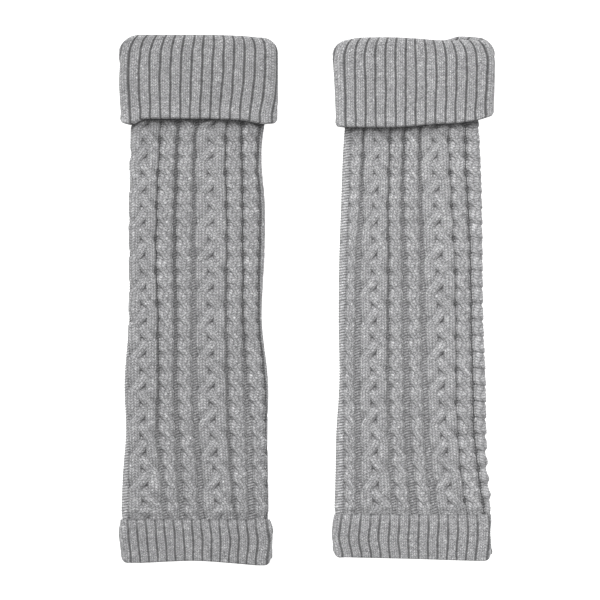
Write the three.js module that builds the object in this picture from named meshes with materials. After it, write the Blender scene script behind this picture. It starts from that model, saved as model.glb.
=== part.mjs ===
import * as THREE from 'three';

// A pair of knitted leg warmers lying flat, side by side, cuffs at the top.
// Millimetres. +Z is up from the surface they lie on, +Y runs towards the turned cuffs.
// Each leg is a cabled tube with a ribbed cuff folded outwards over its top and a ribbed hem.
// The knit lies double, so each tube is flat underneath, plain inside, and has its cables and
// ribs raised on top, round to its two side folds.

// Stations along the leg, measured up from the middle of the pair
const foldTop = 211.8;
const lipLine = 145;
const bodyTop = 157;
const seamGap = 0.3;

// Thicknesses of the cloth and of the narrow space left inside a flattened tube
const slit = 0.8;
const bodyBackWall = 3;
const bodyFrontWall = 2.2;
const cableRise = 2.4;
const tuckedBackWall = 2.2;
const tuckedFrontWall = 1.8;
const ribWall = 2;
const cuffWall = 3;
const cuffFrontWall = 2.2;
const cuffRibRise = 1.2;
const hemBackWall = 2.6;
const hemFrontWall = 2.2;
const hemRibRise = 1.5;

// How far in from its side fold each tube stays rounded
const bodyReach = 6;
const cuffReach = 8;
const layerReach = 6;
const slitReach = 3;

// The body leaves the cuff raised on the cuff's under layer and comes down below it
const rampTop = 139;
const rampLength = 18;
const lipFlare = 2.3;
const flareLength = 12;

// One crossing of the cables, the place of the first, and the rows of points to each
const crossingPitch = 13.08;
const firstCrossing = 30.4;
const rowsPerCrossing = 3;

// Every place on the legs comes from these tables. 'down' is the distance below the cuff's
// free edge, 'up' is a height on the pair, 'across' runs from the left fold to the right one,
// and every other number in a row is millimetres from the leg's own middle line.
const grooves = ['g0', 'g1', 'g2', 'g3', 'g4', 'g5', 'g6'];

function table(columns, ...rows) {
  return rows.map((row) => Object.fromEntries(columns.map((name, index) => [name, row[index]])));
}

const lineColumns = ['down', 'left', ...grooves, 'right'];
const widthColumns = ['down', ...grooves];
const ribColumns = ['up', 'left', 'right', 'first', 'pitch'];
const edgeColumns = ['across', 'fold', 'foldBack', 'lip', 'hem'];

const leftLeg = {
  name: 'left',
  middle: -87.4,
  bodyBottom: -175,
  hemBottom: -211.8,
  panels: ['ladder', 'braid', 'rope', 'rope', 'braid', 'rope', 'rope', 'strip'],
  lines: table(lineColumns,
    [0, -51.4, -51.0, -29.2, -14.8, -0.2, 23.6, 35.2, 49.8, 54.0],
    [30, -52.8, -52.2, -30.8, -16.6, -2.2, 22.0, 35.6, 47.4, 51.2],
    [70, -54.0, -53.2, -32.6, -17.6, -2.4, 23.2, 36.0, 49.6, 54.0],
    [110, -54.0, -53.0, -33.2, -18.2, -2.8, 23.2, 36.4, 49.2, 53.6],
    [160, -54.2, -53.0, -31.7, -17.2, -2.6, 22.6, 36.6, 48.4, 51.4],
    [210, -57.7, -55.2, -31.2, -17.5, -2.0, 23.8, 38.8, 53.2, 56.4],
    [250, -56.6, -54.4, -32.0, -15.9, -0.6, 24.9, 41.2, 54.0, 56.0],
    [285, -59.2, -54.6, -28.4, -14.0, 2.0, 27.2, 42.2, 54.4, 56.4],
    [320, -60.4, -54.8, -25.5, -12.2, 3.6, 30.0, 43.6, 54.6, 56.6]),
  widths: table(widthColumns,
    [0, 0.6, 2.2, 3.0, 3.0, 2.2, 2.4, 2.0],
    [150, 0.6, 2.4, 3.2, 4.2, 3.0, 2.4, 2.0],
    [320, 1.0, 4.6, 4.6, 4.8, 3.6, 6.4, 1.0]),
  cuffRibs: 14,
  cuff: table(ribColumns,
    [208, -61.6, 63.6, -49.6, 7.88],
    [200, -61.6, 63.6, -53.6, 8.34],
    [176, -62.0, 63.6, -54.8, 8.34],
    [152, -60.8, 62.8, -53.2, 7.94]),
  hemRibs: 15,
  hem: table(ribColumns,
    [-175, -60.8, 57.2, -56.0, 7.3],
    [-183, -61.4, 59.1, -55.2, 7.3],
    [-192, -62.0, 59.0, -54.8, 7.36],
    [-207, -60.8, 58.5, -52.8, 7.1]),
  edges: table(edgeColumns,
    [0, 0, -1, -1.6, 2],
    [0.06, 0, -1, -4.4, 2],
    [0.13, 0, -1, 0.4, 2],
    [0.35, 0, -1, 0.4, 3.2],
    [0.5, 0, -1, 0.4, 3.6],
    [0.65, 0, -1, 0.4, 2.6],
    [0.8, 0, -1, -0.8, 1.2],
    [0.92, 0, -1, -4, 0],
    [1, 0, -1, 0, 0]),
};

const rightLeg = {
  name: 'right',
  middle: 85.4,
  bodyBottom: -171,
  hemBottom: -208.2,
  panels: ['ladder', 'rope', 'braid', 'rope', 'rope', 'braid', 'rope', 'rope'],
  lines: table(lineColumns,
    [0, -54.0, -50.5, -39.3, -19.2, -7.2, 5.2, 27.6, 41.0, 51.8],
    [30, -56.0, -50.8, -40.6, -19.6, -8.1, 4.7, 28.0, 41.3, 53.4],
    [70, -57.4, -51.8, -41.6, -20.6, -9.0, 5.8, 30.2, 43.1, 54.7],
    [110, -58.8, -53.4, -44.0, -20.4, -7.7, 6.6, 32.4, 45.1, 54.9],
    [160, -59.4, -54.8, -44.4, -20.6, -7.1, 7.8, 33.4, 45.8, 55.2],
    [210, -58.8, -55.9, -45.2, -20.6, -5.5, 8.9, 33.7, 47.0, 57.0],
    [250, -61.2, -55.9, -44.2, -19.7, -4.9, 10.5, 34.8, 48.1, 57.4],
    [285, -61.9, -55.9, -44.2, -18.0, -2.6, 13.2, 37.8, 51.6, 59.0],
    [316, -62.9, -55.9, -44.2, -15.6, 0.8, 17.2, 42.4, 56.2, 61.2]),
  widths: table(widthColumns,
    [0, 0.8, 2.4, 2.8, 2.8, 3.0, 2.2, 2.2],
    [150, 0.8, 5.2, 3.2, 4.4, 4.2, 2.2, 2.6],
    [316, 0.8, 4.8, 4.6, 6.6, 5.6, 2.2, 2.4]),
  cuffRibs: 15,
  cuff: table(ribColumns,
    [208, -64.0, 64.0, -52.0, 7.57],
    [200, -64.0, 64.0, -55.2, 8.09],
    [176, -62.8, 63.6, -54.8, 8.06],
    [152, -62.0, 63.0, -54.4, 7.94]),
  hemRibs: 15,
  hem: table(ribColumns,
    [-171, -63.2, 61.4, -57.3, 7.69],
    [-183, -64.0, 60.6, -58.8, 7.85],
    [-192, -64.0, 60.4, -59.7, 7.89],
    [-205, -63.6, 61.4, -56.8, 7.57]),
  edges: table(edgeColumns,
    [0, -4.4, -3, -1.6, 2.4],
    [0.06, -4, -3, -5.8, 2.8],
    [0.13, -2.4, -3, -5.6, 2.6],
    [0.35, -2, -3, -5.6, 2],
    [0.5, -2.6, -3, -4.4, 1.6],
    [0.65, -4, -2, -3.2, 1],
    [0.8, -4.4, -0.8, -2, 0.4],
    [0.92, -4, -1.4, 0.4, 0],
    [1, -4, -2, 4, 0]),
};

function smooth(share) {
  const held = Math.min(1, Math.max(0, share));
  return held * held * (3 - 2 * held);
}

function mix(from, to, share) {
  return from + (to - from) * share;
}

// Reads a column of a table at any place, on a smooth curve through its rows
function read(rows, key, at, column) {
  const rising = rows[0][key] < rows[rows.length - 1][key];
  const sorted = rising ? rows : [...rows].reverse();
  const last = sorted.length - 1;
  const held = Math.min(sorted[last][key], Math.max(sorted[0][key], at));
  let index = 0;
  while (index < last - 1 && held > sorted[index + 1][key]) index += 1;
  const slope = (place) => {
    const before = sorted[Math.max(0, place - 1)];
    const after = sorted[Math.min(last, place + 1)];
    return (after[column] - before[column]) / (after[key] - before[key]);
  };
  const from = sorted[index];
  const to = sorted[index + 1];
  const span = to[key] - from[key];
  const share = (held - from[key]) / span;
  const bend = share * (1 - share);
  return mix(from[column], to[column], smooth(share))
    + bend * span * ((1 - share) * slope(index) - share * slope(index + 1));
}

// One strand of a cable is a round roll: highest on its middle, nothing past its width
function roll(across, middle, halfWidth, height) {
  const offset = (across - middle) / halfWidth;
  return Math.abs(offset) >= 1 ? 0 : height * Math.sqrt(1 - offset * offset);
}

// A dip for each time a strand passes under another
function dip(turns) {
  return Math.abs(turns) >= 0.7 ? 0 : Math.cos((Math.PI * turns) / 1.4) ** 2;
}

// Two strands: each in turn crosses over to the right, then back under to the left
function ropeHeight(across, turns) {
  const crossed = (place) => {
    const turn = place - 2 * Math.floor((place + 0.5) / 2);
    const middle = 0.27 + 0.46 * (smooth(turn + 0.5) - smooth(turn - 0.5));
    return roll(across, middle, 0.3, 1 - 0.5 * dip(turn - 1));
  };
  return Math.max(crossed(turns), crossed(turns + 1));
}

// Three strands: each goes over to the left, under to the middle, over to the right, and back
function braidHeight(across, turns) {
  const plaited = (place) => {
    const turn = place - 6 * Math.floor((place + 0.5) / 6);
    const moved = smooth(turn - 1.5) + smooth(turn - 2.5) - smooth(turn + 0.5) - smooth(turn - 4.5);
    return roll(across, 0.5 + 0.33 * moved, 0.21, 1 - 0.55 * (dip(turn - 2) + dip(turn - 5)));
  };
  return Math.max(plaited(turns), plaited(turns + 2), plaited(turns + 4));
}

// Where the points of each kind of panel stand across it, and how high they rise
const panelKinds = {
  ladder: { stops: [0, 1], height: () => 0 },
  rope: { stops: [0, 0.3, 0.7, 1], height: ropeHeight },
  braid: { stops: [0, 0.18, 0.34, 0.5, 0.66, 0.82, 1], height: braidHeight },
  strip: { stops: [0, 0.5, 1], height: (across, turns) => braidHeight(across / 2, turns) },
};

// The points and triangles of one piece, gathered and then made into a mesh
class Skin {
  constructor() {
    this.places = [];
    this.faces = [];
  }

  // 'turn' runs 0 to 1 round a ring of points, and pairs rings of different counts
  point(place, turn) {
    this.places.push(...place);
    return { id: this.places.length / 3 - 1, turn };
  }

  // Four-sided cells between rows of equal length; 'leans' picks each cell's diagonal
  grid(rows, leans = () => false) {
    for (let row = 0; row < rows.length - 1; row += 1) {
      for (let column = 0; column < rows[row].length - 1; column += 1) {
        const [a, b] = [rows[row][column].id, rows[row + 1][column].id];
        const [c, d] = [rows[row + 1][column + 1].id, rows[row][column + 1].id];
        this.faces.push(...(leans(column) ? [a, b, d, b, c, d] : [a, b, c, a, c, d]));
      }
    }
  }

  // A strip between two rows of any counts, paired by their 'turn'
  strip(near, far) {
    let i = 0;
    let j = 0;
    while (i < near.length - 1 || j < far.length - 1) {
      const nearNext = i < near.length - 1 ? near[i].turn + near[i + 1].turn : Infinity;
      const farNext = j < far.length - 1 ? far[j].turn + far[j + 1].turn : Infinity;
      if (farNext <= nearNext) {
        this.faces.push(near[i].id, far[j].id, far[j + 1].id);
        j += 1;
      } else {
        this.faces.push(near[i].id, far[j].id, near[i + 1].id);
        i += 1;
      }
    }
  }

  mesh(name, material) {
    const geometry = new THREE.BufferGeometry();
    geometry.setAttribute('position', new THREE.Float32BufferAttribute(this.places, 3));
    geometry.setIndex(this.faces);
    geometry.computeVertexNormals();
    const mesh = new THREE.Mesh(geometry, material);
    mesh.name = name;
    return mesh;
  }
}

function closed(ring) {
  return [...ring, { id: ring[0].id, turn: 1 }];
}

// A side chain of points, paired with another by how far down the leg they are
function chain(rows, column, heights) {
  return rows.map((row, index) => ({ id: row.at(column).id, turn: -heights[index] }));
}

// A point on a flattened tube: 'side' is 1 on the front and -1 on the back, and 'rise' lifts
// it straight out of the surface
function tubePoint(section, x, side, rise) {
  const { left, right, low, high, reach } = section;
  const inset = Math.max(0, Math.min(x - left, right - x, reach));
  const lean = 1 - inset / reach;
  const half = (high - low) / 2;
  const upright = Math.sqrt(1 - lean * lean);
  const outX = lean / reach;
  const outZ = upright / half;
  const size = Math.hypot(outX, outZ);
  const towards = x < (left + right) / 2 ? -1 : 1;
  return {
    x: x + (towards * rise * outX) / size,
    z: low + half + side * (half * upright + (rise * outZ) / size),
  };
}

// The few stops of a plain ring: its two folds, where they begin, and a point between
function plainStops(section) {
  const { left, right, reach } = section;
  const near = reach * 0.25;
  const front = [left, left + near, left + reach, right - reach, right - near, right];
  const back = [right - near, right - reach, left + reach, left + near];
  return [
    ...front.map((x) => ({ x, side: 1 })),
    ...back.map((x) => ({ x, side: -1 })),
  ];
}

function ringTurn(section, x, side) {
  const share = (x - section.left) / (section.right - section.left);
  return side > 0 ? share / 2 : 1 - share / 2;
}

function plainRing(skin, middle, up, section) {
  return plainStops(section).map(({ x, side }) => {
    const place = tubePoint(section, x, side, 0);
    return skin.point([middle + place.x, up, place.z], ringTurn(section, x, side));
  });
}

// How far the body is tucked into the cuff at a height: 1 inside, 0 once it lies on the floor
function tucked(up) {
  return smooth((up - (rampTop - rampLength)) / rampLength);
}

function bodySection(leg, up) {
  const down = lipLine - up;
  const share = tucked(up);
  const low = (cuffWall + seamGap) * share;
  const floor = low + mix(bodyBackWall, tuckedBackWall, share);
  return {
    left: read(leg.lines, 'down', down, 'left'),
    right: read(leg.lines, 'down', down, 'right'),
    low,
    floor,
    high: floor + slit + mix(bodyFrontWall, tuckedFrontWall, share),
    reach: bodyReach,
  };
}

// The slit inside the body keeps a side wall as thick as its back
function bodySlit(leg, up) {
  const outer = bodySection(leg, up);
  return {
    left: outer.left + bodyBackWall,
    right: outer.right - bodyBackWall,
    low: outer.floor,
    high: outer.floor + slit,
    reach: slitReach,
  };
}

// Every stop across the front of the body: its place, its rise and its panel's lean
function cableStops(leg, up) {
  const down = lipLine - up;
  const at = (column) => read(leg.lines, 'down', down, column);
  const halfGroove = (column) => read(leg.widths, 'down', down, column) / 2;
  const turns = (down - firstCrossing) / crossingPitch;
  const shown = smooth((lipLine + 6 - up) / 10) * smooth((up - leg.bodyBottom) / 5);
  const stops = [];
  leg.panels.forEach((kind, index) => {
    const from = index === 0 ? at('left') : at(grooves[index - 1]) + halfGroove(grooves[index - 1]);
    const open = index === grooves.length;
    const to = open ? at('right') : at(grooves[index]) - halfGroove(grooves[index]);
    const { stops: shares, height } = panelKinds[kind];
    shares.forEach((share) => {
      const rise = cableRise * shown * height(share, turns);
      stops.push({ x: mix(from, to, share), rise, leans: kind === 'braid' && share < 0.5 });
    });
  });
  return stops;
}

function body(leg, material) {
  const skin = new Skin();
  const span = bodyTop - leg.bodyBottom;
  const rowCount = Math.round((span / crossingPitch) * rowsPerCrossing);
  const rowHeights = Array.from({ length: rowCount + 1 }, (_, row) => bodyTop - (span * row) / rowCount);
  const front = rowHeights.map((up) => {
    const section = bodySection(leg, up);
    return cableStops(leg, up).map(({ x, rise }) => {
      const place = tubePoint(section, x, 1, rise);
      return skin.point([leg.middle + place.x, up, place.z], ringTurn(section, x, 1));
    });
  });
  const rampStops = [bodyTop, 151, lipLine, rampTop, 134, 129.5, 125, rampTop - rampLength];
  const plainCount = 17;
  const plainHeights = Array.from({ length: plainCount }, (_, row) => (
    mix(rampStops.at(-1), leg.bodyBottom, (row + 1) / plainCount)));
  const fewHeights = [...rampStops, ...plainHeights];
  const back = fewHeights.map((up) => {
    const section = bodySection(leg, up);
    return plainStops(section).filter(({ side }) => side < 0).map(({ x, side }) => {
      const place = tubePoint(section, x, side, 0);
      return skin.point([leg.middle + place.x, up, place.z], ringTurn(section, x, side));
    });
  });
  const inside = [...fewHeights].reverse().map((up) => (
    plainRing(skin, leg.middle, up, bodySlit(leg, up))));
  const leans = cableStops(leg, 0).map((stop) => stop.leans);
  skin.grid(front, (column) => leans[column]);
  skin.grid(back);
  skin.strip(chain(back, 0, fewHeights), chain(front, -1, rowHeights));
  skin.strip(chain(front, 0, rowHeights), chain(back, -1, fewHeights));
  skin.grid(inside.map(closed));
  skin.strip(closed(inside.at(-1)), closed([...front[0], ...back[0]]));
  skin.strip(closed([...front.at(-1), ...back.at(-1)]), closed(inside[0]));
  return skin.mesh(`${leg.name}_body`, material);
}

// The ribbed front of a cuff or hem: a shoulder, a groove and a shoulder for each rib's edge
const shoulder = 1.3;

function ribStops(section, ribs, count) {
  const stops = [{ x: section.left, side: 1, rise: 0.8 }];
  for (let rib = 0; rib < count; rib += 1) {
    const groove = ribs.first + ribs.pitch * rib;
    stops.push({ x: groove - shoulder, side: 1, rise: 1 });
    stops.push({ x: groove, side: 1, rise: 0 });
    stops.push({ x: groove + shoulder, side: 1, rise: 1 });
  }
  stops.push({ x: section.right, side: 1, rise: 0.8 });
  return [...stops, ...plainStops(section).filter(({ side }) => side < 0).map((stop) => ({ ...stop, rise: 0 }))];
}

function ribsAt(rows, up) {
  const at = (column) => read(rows, 'up', up, column);
  return { left: at('left'), right: at('right'), first: at('first'), pitch: at('pitch') };
}

// A plan corner: how far an edge drops back within a radius of the side fold
function cornerDrop(section, x, radius) {
  const inset = Math.max(0, Math.min(x - section.left, section.right - x));
  const share = 1 - Math.min(1, inset / radius);
  return radius * (1 - Math.sqrt(1 - share * share));
}

function edgeUp(leg, section, x, column) {
  return read(leg.edges, 'across', (x - section.left) / (section.right - section.left), column);
}

// The four faces of the doubled cuff, from outside in
function cuffSections(leg, up) {
  const ribs = ribsAt(leg.cuff, up);
  const flare = lipFlare * (1 - smooth((up - lipLine) / flareLength));
  const layerTop = cuffWall + seamGap + 2 * ribWall + slit;
  const tubeSection = bodySection(leg, bodyTop);
  const widened = smooth((up - bodyTop) / 30);
  const inset = cuffWall + seamGap + 0.2;
  const left = mix(tubeSection.left, ribs.left + inset, widened);
  const right = mix(tubeSection.right, ribs.right - inset, widened);
  const lining = { left, right, low: cuffWall + seamGap, high: layerTop, reach: layerReach - seamGap };
  const outerHigh = layerTop + seamGap + 0.1 + flare;
  return {
    outer: { ...ribs, low: 0, high: outerHigh + cuffFrontWall, reach: cuffReach },
    outerInside: {
      left: ribs.left + cuffWall,
      right: ribs.right - cuffWall,
      low: cuffWall,
      high: outerHigh,
      reach: layerReach,
    },
    lining,
    slit: {
      left: left + 2.5,
      right: right - 2.5,
      low: lining.low + ribWall,
      high: lining.high - ribWall,
      reach: slitReach,
    },
  };
}

const foldDepth = 5;
const foldAngles = [180, 140, 105, 75, 45, 20];
const cuffCorner = 8;
const hemCorner = 5;

function cuff(leg, material) {
  const skin = new Skin();
  const plain = (up, face) => plainRing(skin, leg.middle, up, cuffSections(leg, up)[face]);
  const foldBase = foldTop - foldDepth - 6;

  // Rows over the fold: the outer face turned in to the slit as the angle grows
  const foldRow = (degrees, level) => {
    const angle = THREE.MathUtils.degToRad(degrees);
    const inward = (1 - Math.cos(angle)) / 2;
    const { outer, slit: inner } = cuffSections(leg, foldTop - foldDepth);
    const ribs = ribsAt(leg.cuff, foldTop);
    return ribStops(outer, ribs, leg.cuffRibs).map(({ x, side, rise }) => {
      const share = (x - outer.left) / (outer.right - outer.left);
      const out = tubePoint(outer, x, side, rise * cuffRibRise * (1 - smooth(inward * 1.3 - 0.2)));
      const within = tubePoint(inner, mix(inner.left, inner.right, share), side, 0);
      const crest = foldTop + edgeUp(leg, outer, x, side > 0 ? 'fold' : 'foldBack') - foldDepth;
      const over = crest - cornerDrop(outer, x, cuffCorner) * (1 - inward) + foldDepth * Math.sin(angle);
      return skin.point(
        [leg.middle + mix(out.x, within.x, inward), level ?? over, mix(out.z, within.z, inward)],
        ringTurn(outer, x, side),
      );
    });
  };

  // Rows down the outer face, following the curve of the free edge more and more
  const outerRow = (share, tuck, lift = 0) => {
    const nominal = mix(foldTop - foldDepth - 3, lipLine, share);
    const { outer, outerInside } = cuffSections(leg, nominal);
    return ribStops(outer, ribsAt(leg.cuff, nominal), leg.cuffRibs).map(({ x, side, rise }) => {
      const out = tubePoint(outer, x, side, rise * cuffRibRise * (1 - tuck));
      const fraction = (x - outer.left) / (outer.right - outer.left);
      const under = tubePoint(outerInside, mix(outerInside.left, outerInside.right, fraction), side, 0);
      const across = mix(out.x, under.x, tuck);
      const crestEdge = edgeUp(leg, outer, x, side > 0 ? 'fold' : 'foldBack');
      const crest = crestEdge - cornerDrop(outer, across, cuffCorner);
      const lip = edgeUp(leg, outer, x, 'lip') + cornerDrop(outer, across, hemCorner);
      return skin.point([
        leg.middle + across,
        nominal + mix(crest, lip, share) + lift,
        mix(out.z, under.z, tuck),
      ], ringTurn(outer, x, side));
    });
  };

  const inner = [bodyTop + seamGap, 172, 187].map((up) => plain(up, 'slit'));
  const outerShares = [0, 0.3, 0.6, 0.88];
  const dense = [
    foldRow(180, foldBase),
    ...foldAngles.map((degrees) => foldRow(degrees)),
    ...outerShares.map((share) => outerRow(share, 0)),
    outerRow(0.985, 0.12),
    outerRow(1, 0.6),
    outerRow(1, 1, 1.2),
  ];
  const between = [
    ...[151, bodyTop, 172, 187, foldBase - 1].map((up) => plain(up, 'outerInside')),
    ...[foldBase - 1, 187, 172, bodyTop + seamGap].map((up) => plain(up, 'lining')),
  ];
  skin.grid(inner.map(closed));
  skin.strip(closed(inner.at(-1)), closed(dense[0]));
  skin.grid(dense.map(closed));
  skin.strip(closed(dense.at(-1)), closed(between[0]));
  skin.grid(between.map(closed));
  skin.grid([between.at(-1), inner[0]].map(closed));
  return skin.mesh(`${leg.name}_cuff`, material);
}

function hem(leg, material) {
  const skin = new Skin();
  const top = leg.bodyBottom - seamGap;
  const section = (up) => ({
    ...ribsAt(leg.hem, up),
    low: 0,
    high: hemBackWall + slit + hemFrontWall,
    reach: bodyReach,
  });
  const slitSection = (up) => {
    const outer = section(up);
    return {
      left: outer.left + hemBackWall,
      right: outer.right - hemBackWall,
      low: hemBackWall,
      high: hemBackWall + slit,
      reach: slitReach,
    };
  };
  const row = (share, raised, tuck, lift = 0) => {
    const nominal = mix(top, leg.hemBottom, share);
    const outer = section(nominal);
    const inner = slitSection(nominal);
    return ribStops(outer, ribsAt(leg.hem, nominal), leg.hemRibs).map(({ x, side, rise }) => {
      const out = tubePoint(outer, x, side, rise * hemRibRise * raised);
      const fraction = (x - outer.left) / (outer.right - outer.left);
      const within = tubePoint(inner, mix(inner.left, inner.right, fraction), side, 0);
      const across = mix(out.x, within.x, tuck);
      const bottom = edgeUp(leg, outer, x, 'hem') + cornerDrop(outer, across, hemCorner);
      return skin.point([
        leg.middle + across,
        nominal + bottom * share + lift,
        mix(out.z, within.z, tuck),
      ], ringTurn(outer, x, side));
    });
  };
  const outside = [
    row(0, 0, 0),
    row(0.05, 1, 0),
    row(0.35, 1, 0),
    row(0.65, 1, 0),
    row(0.96, 1, 0),
    row(1, 0, 0.45),
    row(1, 0, 1, 2),
  ];
  const inside = [0.6, 0.3, 0].map((share) => {
    const up = mix(top, leg.hemBottom, share);
    return plainRing(skin, leg.middle, up, slitSection(up));
  });
  skin.grid(inside.map(closed));
  skin.strip(closed(inside.at(-1)), closed(outside[0]));
  skin.grid(outside.map(closed));
  skin.strip(closed(outside.at(-1)), closed(inside[0]));
  return skin.mesh(`${leg.name}_hem`, material);
}

const yarn = (color) => new THREE.MeshStandardMaterial({ color, roughness: 0.95, metalness: 0 });

const pair = new THREE.Group();
[leftLeg, rightLeg].forEach((leg) => {
  pair.add(body(leg, yarn('#98989b')));
  pair.add(cuff(leg, yarn('#a3a3a6')));
  pair.add(hem(leg, yarn('#9d9da0')));
});

export default pair;
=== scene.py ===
# %% [markdown]
# # A pair of cable-knit leg warmers, laid flat
# Each leg is one knitted tube: cables parted by purl grooves, a ribbed cuff folded outwards over
# the top, and a ribbed hem. The measured model gives the size and place of every piece. Here each
# piece is made again as knitting, stitch by stitch, on the same form.

# %% Load the measured model
import math

import bpy
import numpy as np
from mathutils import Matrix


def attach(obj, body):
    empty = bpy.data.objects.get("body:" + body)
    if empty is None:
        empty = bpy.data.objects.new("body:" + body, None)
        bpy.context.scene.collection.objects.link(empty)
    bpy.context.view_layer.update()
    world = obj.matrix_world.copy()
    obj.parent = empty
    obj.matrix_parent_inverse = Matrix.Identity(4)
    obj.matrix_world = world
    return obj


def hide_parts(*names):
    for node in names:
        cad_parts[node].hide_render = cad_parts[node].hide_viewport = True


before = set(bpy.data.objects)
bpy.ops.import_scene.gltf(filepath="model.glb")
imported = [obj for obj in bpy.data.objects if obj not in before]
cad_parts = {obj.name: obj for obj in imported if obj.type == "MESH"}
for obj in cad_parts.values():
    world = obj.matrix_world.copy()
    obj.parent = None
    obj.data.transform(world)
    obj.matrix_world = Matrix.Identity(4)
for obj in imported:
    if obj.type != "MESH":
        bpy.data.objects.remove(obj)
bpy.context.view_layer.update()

MM = 0.001


print("nodes:", sorted(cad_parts))

# %% [markdown]
# The loaded nodes are selected, and an operator acts on all that is selected. So nothing stays
# selected between steps.


# %% Deselect everything
def deselect_all():
    if bpy.context.object and bpy.context.object.mode != "OBJECT":
        bpy.ops.object.mode_set(mode="OBJECT")
    bpy.ops.object.select_all(action="DESELECT")


deselect_all()
print("selected:", len(bpy.context.selected_objects))

# %% [markdown]
# ## The camera and the floor
# The legs were photographed from straight above, on white. A long lens high over the floor keeps
# the picture free of perspective, as a plan drawing is. The floor glows white, so hardly a shadow
# shows on it, and the legs stand out as they do on bright paper.

# %% Camera
PHOTO_SIDE = 600
PHOTO_SCALE = 0.8 * MM
PAIR_CENTRE_PIXEL = (306.8, 300.25)
SENSOR = 36.0
LENS = 200.0
VIEW_DEPTH = 20.0
FRAME_WIDTH = PHOTO_SIDE * PHOTO_SCALE
CAMERA_HEIGHT = FRAME_WIDTH * LENS / SENSOR

camera_data = bpy.data.cameras.new("camera")
camera_data.lens = LENS
camera_data.sensor_width = SENSOR
camera_data.clip_end = VIEW_DEPTH
camera = bpy.data.objects.new("camera", camera_data)
camera.location = (
    (PHOTO_SIDE / 2 - PAIR_CENTRE_PIXEL[0]) * PHOTO_SCALE,
    (PAIR_CENTRE_PIXEL[1] - PHOTO_SIDE / 2) * PHOTO_SCALE,
    CAMERA_HEIGHT,
)
bpy.context.scene.collection.objects.link(camera)
bpy.context.scene.camera = camera
print("camera height in metres:", round(CAMERA_HEIGHT, 3))

# %% Floor
FLOOR_SIDE = 6.0
FLOOR_DROP = 0.0003
FLOOR_GREY = (0.4, 0.4, 0.4, 1)
FLOOR_ROUGHNESS = 0.9
FLOOR_GLOW = 1.0
WHITE = (1, 1, 1, 1)

bpy.ops.mesh.primitive_plane_add(size=FLOOR_SIDE, location=(0, 0, -FLOOR_DROP))
floor = bpy.context.object
floor.name = "floor"
floor_finish = bpy.data.materials.new("floor_white")
floor_finish.use_nodes = True
floor_shader = floor_finish.node_tree.nodes["Principled BSDF"]
floor_shader.inputs["Base Color"].default_value = FLOOR_GREY
floor_shader.inputs["Roughness"].default_value = FLOOR_ROUGHNESS
floor_shader.inputs["Emission Color"].default_value = WHITE
floor_shader.inputs["Emission Strength"].default_value = FLOOR_GLOW
floor.data.materials.append(floor_finish)
deselect_all()
print("floor side in metres:", FLOOR_SIDE)

# %% [markdown]
# ## The light
# A wide soft light stands beyond the cuffs and shines down the legs, so that every roll of knit
# has a bright upper side and a soft shadow in the groove beside it. A weaker one fills in from
# the hems, and a pale sky does the rest. Hard light would turn the grooves black.

# %% Lights
LIGHTS = {
    "key_light": {"place": (-0.7, 2.8, 2.7), "side": 1.3, "power": 160},
    "fill_light": {"place": (0.6, -1.4, 2.8), "side": 1.0, "power": 32},
}
SKY_STRENGTH = 0.42


def soft_light(name, place, side, power):
    """A square light that shines at the middle of the pair."""
    light_data = bpy.data.lights.new(name, "AREA")
    light_data.shape = "SQUARE"
    light_data.size = side
    light_data.energy = power
    light = bpy.data.objects.new(name, light_data)
    light.location = place
    across, along, height = place
    tilt = math.atan2(math.hypot(across, along), height)
    light.rotation_euler = (tilt, 0, math.atan2(-along, -across) - math.pi / 2)
    bpy.context.scene.collection.objects.link(light)


for light_name, light_sizes in LIGHTS.items():
    soft_light(light_name, **light_sizes)
world = bpy.data.worlds.new("studio")
world.use_nodes = True
sky = world.node_tree.nodes["Background"]
sky.inputs["Color"].default_value = WHITE
sky.inputs["Strength"].default_value = SKY_STRENGTH
bpy.context.scene.world = world
bpy.context.scene.view_settings.view_transform = "Standard"
print("lights:", list(LIGHTS))

# %% [markdown]
# ## The measures of the legs
# All sizes are in millimetres. The grooves down each leg and the ribs of the hems are the very
# ones that the measured model was made from. The cuffs are drawn a little closer to the
# photograph here: their lips hang up to 1.7 mm lower, and up to 5 mm at the outermost corners,
# their folds lie up to 2.6 mm lower, and their ribs are spaced a little differently. The body's
# side folds are thinner.
#
# "down" is the distance below the line of the cuff's lip, "up" is a height above the middle of
# the pair, and "across" is a share of the width, from the left fold to the right one.
#
# A few numbers are for the knitting only. "inset" draws in the two side folds, the tone paints a
# whole leg paler as painted light, as the right leg lies in brighter light, "opened" is how far a
# narrow groove still shows its purl stitches, raised and with less painted shade, and "overlap" is
# how far the cables bulge over each groove.

# %% Sizes shared by both legs
FOLD_TOP = 211.8
LIP_LINE = 145.0
BODY_TOP = 157.0
SEAM_GAP = 0.3
SLIT = 0.8
BODY_BACK_WALL, BODY_FRONT_WALL, CABLE_RISE = 3.0, 2.2, 2.4
TUCKED_BACK_WALL, TUCKED_FRONT_WALL = 2.2, 1.8
RIB_WALL, CUFF_WALL, CUFF_FRONT_WALL = 2.0, 3.0, 2.2
HEM_BACK_WALL, HEM_FRONT_WALL = 2.6, 2.2
CUFF_RIB_RISE, HEM_RIB_RISE = 1.2, 1.5
BODY_REACH, CUFF_REACH, LAYER_REACH, SLIT_REACH = 3.4, 8.0, 6.0, 3.0
RAMP_TOP, RAMP_LENGTH = 139.0, 18.0
LIP_FLARE, FLARE_LENGTH = 2.3, 12.0
CROSSING_PITCH = 13.08
FIRST_CROSSING = 30.4
COURSES_PER_CROSSING = 6
COURSE = CROSSING_PITCH / COURSES_PER_CROSSING
GROOVES = [f"groove_{number}" for number in range(7)]


def table(columns, *rows):
    return {name: np.array([row[index] for row in rows], float) for index, name in enumerate(columns)}


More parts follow.
